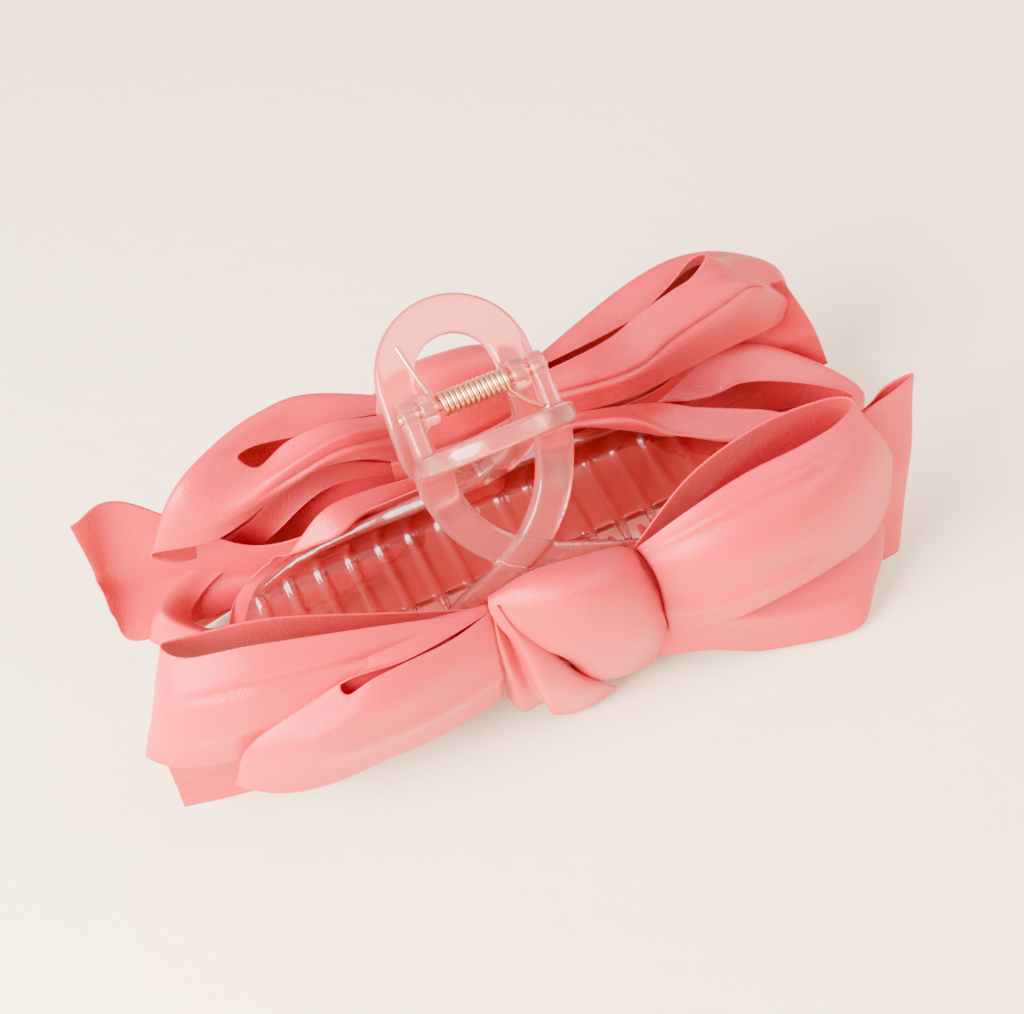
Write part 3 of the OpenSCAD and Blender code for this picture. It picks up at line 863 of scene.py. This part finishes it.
back_right_lower = ribbon("back_right_lower_ribbon", BACK, [
    [(11.5, 24, -42.5), (31.5, 17, -45.5), (45.5, 15, -52.5), (58, 13, -58.5), (70.5, 11, -62),
     (82.5, 11, -56), (84.5, 17, -69.5), (71.5, 23, -73.5), (51, 28, -64.5), (13.5, 29, -43.5)],
    [(11.5, 24, -38), (30, 12, -33), (40.5, 9, -40.5), (50.5, 8, -45), (65.5, 8.5, -50),
     (83, 10.5, -52.5), (81.5, 18, -49.5), (67.5, 26, -41.5), (49, 28, -38.5), (13.5, 29, -39)],
    [(12, 24, -33.5), (37.5, 17, -35.5), (48.5, 14, -39.5), (60.5, 12, -44.5), (69, 11, -49),
     (81, 11, -50.5), (73, 16, -47), (61, 19, -43), (49.5, 21, -44), (13, 27, -35)],
], folds=[(0.6, 0.5, 0.8, 0.08, 0, 0.4)], crown=-0.3)
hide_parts("back_bow_right_lower_loop")

# %% Back bow, tails
back_left_tail = ribbon("back_left_tail_ribbon", BACK, [
    [(0, 21.5, -50), (-24, 22, -50.5), (-44, 23, -51.5), (-70, 25, -52), (-73.5, 25, -42)],
    [(0, 20.5, -42), (-24, 21.5, -43), (-44, 23.5, -45.5), (-67, 29, -37), (-73.5, 27, -32.5)],
    [(0, 15, -32), (-24, 17, -34), (-44, 23.5, -37.5), (-64, 29, -19.5), (-74.5, 26, -18)],
], folds=[(0.5, 0.4, 0.8, 0.1, 0.5, 1.1)], closed_loop=False, gap=0.5)
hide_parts("back_bow_left_tail")

back_right_tail = ribbon("back_right_tail_ribbon", BACK, [
    [(4, 21.5, -50), (26, 22, -50.5), (46, 23, -51.5), (67.5, 26, -54), (82, 23, -51)],
    [(4, 20.5, -42), (26, 21.5, -43), (46, 23.5, -45.5), (68.5, 27, -42.5), (79.5, 24, -40)],
    [(4, 15, -32), (26, 17, -34), (46, 23, -38.5), (65, 27, -28.5), (74, 25, -26)],
], folds=[(0.5, 0.4, 0.8, 0.1, 0.5, 1.1)], closed_loop=False, gap=0.5)
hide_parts("back_bow_right_tail")

# %% [markdown]
# ### The knots
# Each knot is a band of the same satin wrapped round the middle, and the front one has a second
# turn that dives under it from the upper left. The rails here run from left to right, and the
# surface goes over the front from the top's back to the bottom's back.

# %% Knots
front_knot = ribbon("front_knot_ribbon", FRONT, [
    [(-11, -22, -28.5), (-2, -20, -30), (9, -19, -32), (17.5, -20, -34.5), (21, -22, -41)],
    [(-12.5, -29, -20), (-3.5, -30, -17), (7, -30, -18.5), (15, -29, -23), (20.5, -27, -36)],
    [(-13, -31, -22), (-5.5, -36, -18.5), (3.5, -38, -18.5), (13, -36, -25.5), (22, -28, -43.5)],
    [(-10.5, -33, -28.5), (-4, -37, -30.5), (3, -39, -30.5), (12.5, -37, -37.5), (20, -29, -49.5)],
    [(-5.5, -32, -31), (-2, -33, -39), (2, -33.5, -45.5), (8.5, -32, -51), (15.5, -29, -54.5)],
    [(-3.5, -26, -41), (0.5, -26, -50), (5, -26, -56), (10, -26, -58), (16.5, -25, -58)],
], crown=0.3, closed_loop=False)
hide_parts("front_bow_knot")
front_knot_fold = ribbon("front_knot_fold_ribbon", FRONT, [
    [(-11.5, -26, -24), (-12.5, -26, -34.5), (-12.5, -26, -45.5), (-12, -25, -52)],
    [(-12.5, -30, -19.5), (-13, -32, -29.5), (-12, -32, -43), (-10.5, -29, -53)],
    [(-12, -30, -21.5), (-10.5, -31, -33), (-8.5, -32, -44.5), (-6.5, -29, -53)],
    [(-12, -32, -19.5), (-9.5, -36, -30.5), (-7.5, -36, -41), (-5, -30, -56)],
    [(-10.5, -31, -22.5), (-5.5, -35, -32), (-1, -35.5, -44.5), (2, -30, -58.5)],
    [(-7, -30, -28.5), (-2, -31, -41), (4, -32, -50), (8, -29, -57)],
], closed_loop=False)
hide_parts("front_bow_knot")


def wrapped_knot(centre, half):
    """Rails of a plain wrapped knot: six lines from left to right, spaced round a rounded box."""
    turn = np.linspace(-0.5, 1.5, 9) * np.pi
    x = np.linspace(-1, 1, 5)
    thin = 1 - 0.28 * x**2
    return [[(centre[0] + half[0] * a, centre[1] + half[1] * push(np.sin(t), 0.8) * b,
              centre[2] + half[2] * push(np.cos(t), 0.7) * b) for a, b in zip(x, thin)] for t in turn]


back_knot = ribbon("back_knot_ribbon", BACK, wrapped_knot((2, 27.3, -31), (15, 5.4, 17)),
                   folds=[(0.3, 0.5, 0.9, 0.06, 0, 1.1), (0.6, 0.75, -0.8, 0.05, 0, 1.1)],
                   closed_loop=False)
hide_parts("back_bow_knot")

# %% [markdown]
# ## What holds the bows
# Inside each knot the ribbon is gathered into a pleated rope and tied with thread, and a felt pad
# under it takes the glue.

# %% Gather, thread and pad


def gather_rope(centre, length=24.0, radius=2.4):
    """Pleated rope along X: a tube whose radius ripples nine times round and swells at its ends."""
    x = np.linspace(-1, 1, 60)[:, None]
    turn = np.linspace(0, 2 * np.pi, 90, endpoint=False)[None, :]
    r = radius * (0.86 + 0.12 * np.cos(9 * turn + 1.5 * x) + 0.10 * x**2 - 0.1 * bump_at(x, 0, 0.12))
    grid = np.stack([centre[0] + length / 2 * x + 0 * turn, centre[1] + r * np.cos(turn),
                     centre[2] + r * np.sin(turn)], -1)
    return closed_tube(grid)


def tie(centre, radius=2.8, turns=5, wire=0.3):
    """Five turns of thread: a helix a thread's width apart."""
    turn = np.linspace(0, 2 * np.pi * turns, 60 * turns)
    x = centre[0] + (turn / (2 * np.pi) - turns / 2) * 2 * wire
    y, z = centre[1] + radius * np.cos(turn), centre[2] + radius * np.sin(turn)
    return tube(np.stack([x, y, z], -1), wire, 10)


def pad_disc(centre, side, radius=5.8, thick=1.5):
    """Felt disc: rings from the middle of one face round a soft edge to the other's middle."""
    edge = np.linspace(-np.pi / 2, np.pi / 2, 12)
    r = np.concatenate([np.linspace(0.05, radius - 0.6, 14), radius - 0.6 + 0.6 * np.cos(edge),
                        np.linspace(radius - 0.6, 0.05, 14)])[:, None]
    y = np.concatenate([np.full(14, -thick / 2), thick / 2 * np.sin(edge), np.full(14, thick / 2)])[:, None]
    turn = np.linspace(0, 2 * np.pi, 64, endpoint=False)[None, :]
    return closed_tube(np.stack([centre[0] + r * np.cos(turn), centre[1] + side * y + 0 * turn,
                                 centre[2] + side * r * np.sin(turn)], -1))


def fixings(bow, body, side):
    """Gather, thread and pad of one bow, placed at the middle of their CAD solids."""
    made = {"gather": (gather_rope, satin, "satin_ribbon"), "thread": (tie, thread, "tie_thread"),
            "pad": (pad_disc, felt, "felt_pad")}
    for part, (shape, material, slot) in made.items():
        low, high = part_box(f"{bow}_{part}")
        centre = [(a + b) / 2 / MM for a, b in zip(low, high)]
        surface = shape(centre, side) if part == "pad" else shape(centre)
        piece = add_piece(f"{bow}_{part}_piece", make_mesh(part, *surface), material)
        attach(piece, body)
        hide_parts(f"{bow}_{part}")


fixings("front_bow", FRONT, -1)
fixings("back_bow", BACK, 1)
print("fixings made for both bows")

# %% [markdown]
# ## Floor and light
# A pale plaster-like floor and broad, soft lights: a large one from the front left and above, a
# fill from the right, and an even sky. Broad lights give satin its wide highlights.

# %% Floor


def floor_material():
    """Warm white with a faint unevenness."""
    material, shader, add, links = new_material("pale_floor")
    place = add("ShaderNodeTexCoord")
    lumps = add("ShaderNodeTexNoise", Vector=place.outputs["Object"], Scale=130.0, Detail=5.0)
    relief = add("ShaderNodeBump", Height=lumps.outputs["Fac"], Strength=0.25, Distance=0.001)
    links.new(relief.outputs["Normal"], shader.inputs["Normal"])
    set_shader(shader, Base_Color=(0.99, 0.76, 0.57, 1), Roughness=0.8, Specular_IOR_Level=0.2)
    return material


FLOOR_HALF = 1500.0
reach = np.linspace(-FLOOR_HALF, FLOOR_HALF, 3)
flat = np.stack(np.broadcast_arrays(reach[:, None], reach[None, :], FLOOR_Z), -1).reshape(-1, 3)
floor = add_piece("floor", make_mesh("floor", flat, grid_faces(3, 3)[:, ::-1]), floor_material())
print("floor at", FLOOR_Z, "mm")

# %% Lights


def soft_light(name, right, up, back, size, power, colour):
    """Square area light placed in the camera's own directions and aimed at the clip."""
    axes = camera_axes()
    where = Vector((right * axes[0] + up * axes[1] + back * axes[2]) * MM)
    light = bpy.data.objects.new(name, bpy.data.lights.new(name, "AREA"))
    light.data.size = size * MM
    light.data.energy = power
    light.data.color = colour
    light.location = where
    light.rotation_euler = (Vector((0, 0, -0.03)) - where).to_track_quat("-Z", "Y").to_euler()
    bpy.context.scene.collection.objects.link(light)


soft_light("window", right=-420, up=-120, back=420, size=420, power=30.0, colour=(1.0, 0.96, 0.91))
soft_light("fill", right=500, up=300, back=350, size=500, power=7.0, colour=(1.0, 0.95, 0.90))
world = bpy.data.worlds.new("sky")
world.use_nodes = True
sky = world.node_tree.nodes["Background"]
sky.inputs["Color"].default_value = (1.0, 0.965, 0.925, 1)
sky.inputs["Strength"].default_value = 1.5
bpy.context.scene.world = world
print("lights:", ", ".join(light.name for light in bpy.data.lights))
